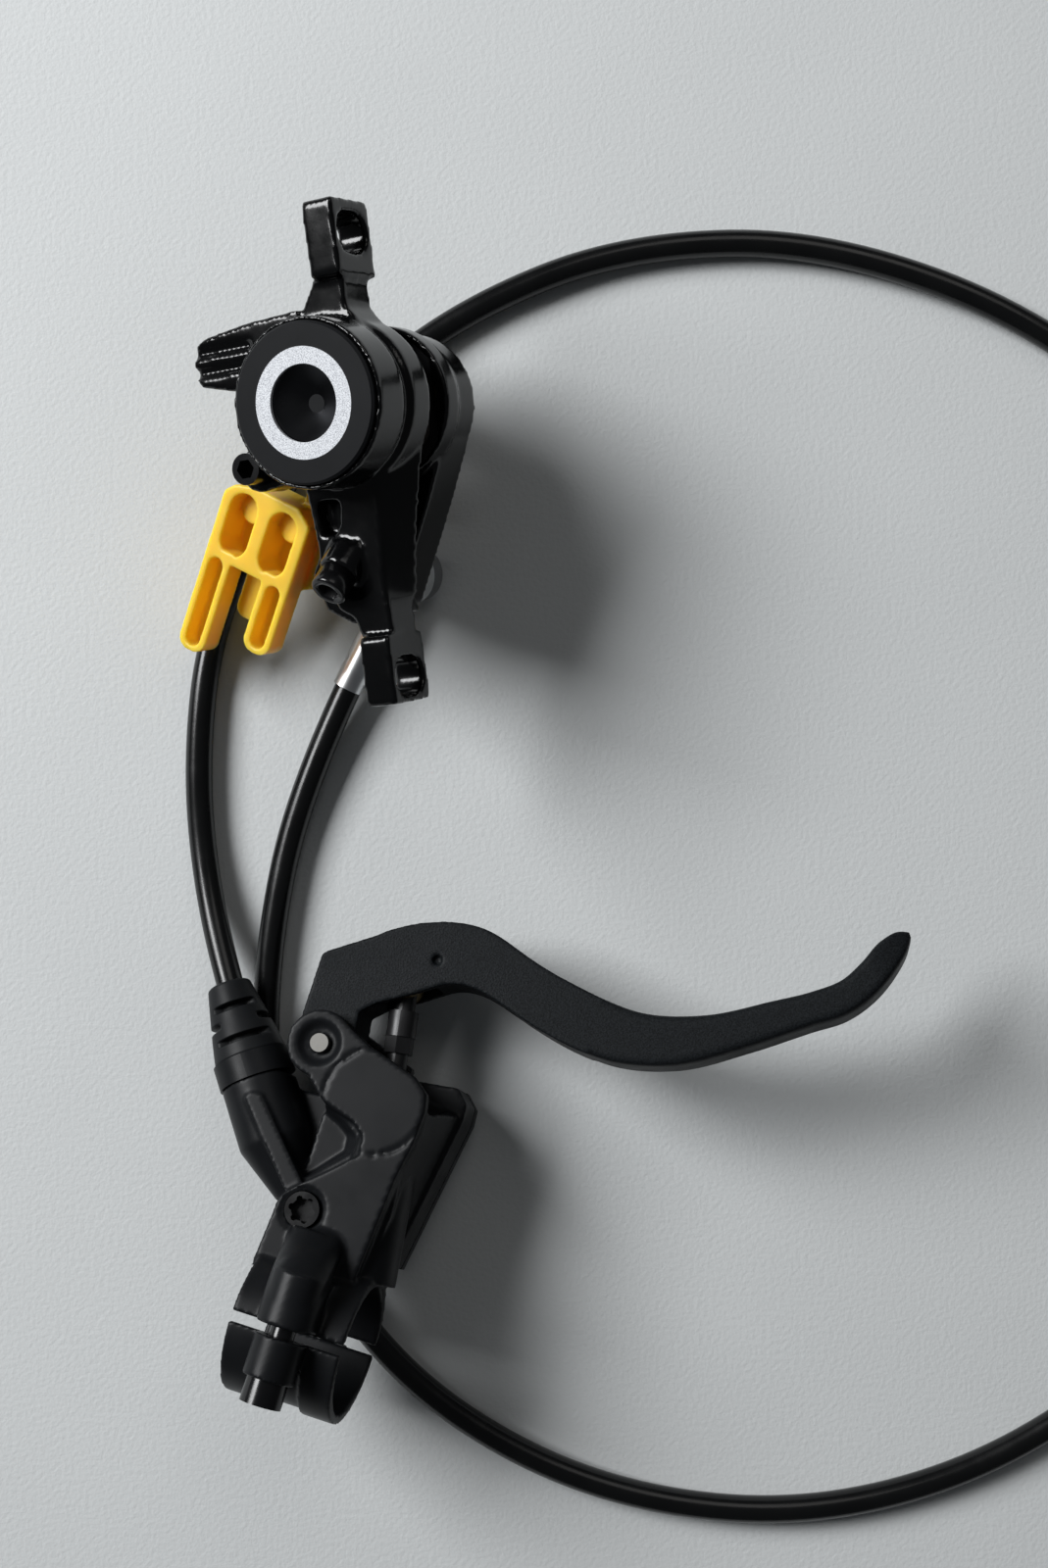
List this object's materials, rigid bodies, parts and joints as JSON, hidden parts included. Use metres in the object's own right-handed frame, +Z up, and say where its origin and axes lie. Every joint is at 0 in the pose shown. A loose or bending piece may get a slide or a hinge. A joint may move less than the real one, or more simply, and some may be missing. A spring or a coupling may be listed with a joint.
{
  "type": "hydraulic disc brake",
  "caption": "Bicycle hydraulic disc brake as it lies on a table: caliper with a yellow transport lock, lever with master cylinder and bar clamp, joined by one long hose.",
  "frame": {"origin": "centre of the base of the caliper's and lever's box, on the table, measured without the hose", "axes": "+Y along the row of caliper and lever, from the lever to the caliper; +Z up from the table; +X towards the blade's tip"},
  "size_m": [0.2188, 0.2396, 0.0559],
  "materials": {
    "caliper_gloss": "gloss black anodised forging",
    "cap_satin": "satin black turned cap",
    "ring_silver": "speckled silver face ring",
    "housing_polymer": "satin black fibre-filled moulding",
    "blade_grain": "matt black with a fine leather grain",
    "screw_black": "gloss black screws",
    "steel": "bright turned steel",
    "grey_bolt": "grey zinc-plated hexagon",
    "ferrule_bright": "bright crimped ferrule",
    "hose_black": "glossy black hose",
    "rubber_black": "moulded rubber",
    "lock_yellow": "yellow moulded plastic",
    "piston_black": "moulded piston",
    "lining_grey": "pressed friction compound",
    "magnet_nickel": "nickel-plated magnet",
    "brass": "turned brass",
    "washer_copper": "soft sealing washers"
  },
  "bodies": {
    "brake": {"caliper_body": "caliper_gloss", "piston_cap": "cap_satin", "cap_ring": "ring_silver", "cap_seal": "rubber_black", "outer_piston_seal": "rubber_black", "inner_piston_seal": "rubber_black", "pad_screw": "screw_black", "caliper_bleed_screw": "screw_black", "banjo_fitting": "ferrule_bright", "banjo_seals": "washer_copper", "banjo_bolt": "grey_bolt", "hose_ferrule": "ferrule_bright", "master_housing": "housing_polymer", "tank_lid": "housing_polymer", "lid_screws": "screw_black", "tank_membrane": "rubber_black", "pivot_pin": "steel", "return_spring": "steel", "dust_wiper": "rubber_black", "port_collar": "housing_polymer", "hose_boot": "rubber_black", "lever_bleed_screw": "screw_black", "bar_clamp": "housing_polymer", "clamp_bolts": "screw_black", "brake_hose": "hose_black"},
    "lever": {"lever_blade": "blade_grain", "pivot_bushes": "brass"},
    "push_rod": {"push_rod_barrel": "brass", "push_rod": "steel"},
    "reach_adjuster": {"reach_adjuster": "screw_black"},
    "master_piston": {"master_piston": "piston_black", "master_piston_seals": "rubber_black"},
    "outer_pad": {"outer_piston": "piston_black", "outer_piston_magnet": "magnet_nickel", "outer_pad_plate": "steel", "outer_pad_lining": "lining_grey"},
    "inner_pad": {"inner_piston": "piston_black", "inner_piston_magnet": "magnet_nickel", "inner_pad_plate": "steel", "inner_pad_lining": "lining_grey"},
    "transport_lock": {"transport_lock": "lock_yellow"}
  },
  "joints": [
    {"name": "lever_pivot", "type": "hinge", "parent": "brake", "child": "lever", "pos_m": [-0.037, -0.04076, 0.01426], "axis": [0.16, -0.25, -0.9549], "range_deg": [0, 20], "stiffness_Nm_per_rad": 0.05, "springref_deg": -17.19},
    {"name": "push_rod_hinge", "type": "hinge", "parent": "lever", "child": "push_rod", "pos_m": [-0.02319, -0.02966, 0.01367], "axis": [0.16, -0.25, -0.9549], "range_deg": [-15, 5]},
    {"name": "reach_adjuster_turn", "type": "hinge", "parent": "push_rod", "child": "reach_adjuster", "pos_m": [-0.02319, -0.02966, 0.01367], "axis": [-0.1342, -0.9639, 0.2298], "range_deg": [-180, 180]},
    {"name": "master_piston_slide", "type": "slide", "parent": "brake", "child": "master_piston", "axis": [-0.1731, -0.9595, 0.2222], "range_m": [0, 0.005], "deforming": ["return_spring"]},
    {"name": "outer_pad_slide", "type": "slide", "parent": "brake", "child": "outer_pad", "axis": [0.4463, 0.1421, -0.8835], "range_m": [0, 0.0005]},
    {"name": "inner_pad_slide", "type": "slide", "parent": "brake", "child": "inner_pad", "axis": [-0.4463, -0.1421, 0.8835], "range_m": [0, 0.0005]},
    {"name": "transport_lock_slide", "type": "slide", "parent": "brake", "child": "transport_lock", "axis": [-0.3355, -0.8888, -0.3124], "range_m": [0, 0.012]}
  ],
  "couplings": [
    {"joint": "push_rod_hinge", "follows": "lever_pivot", "ratio": -0.58273},
    {"joint": "master_piston_slide", "follows": "lever_pivot", "m_per_rad": 0.013545},
    {"joint": "outer_pad_slide", "follows": "lever_pivot", "m_per_rad": 0.00129},
    {"joint": "inner_pad_slide", "follows": "lever_pivot", "m_per_rad": 0.00129}
  ]
}
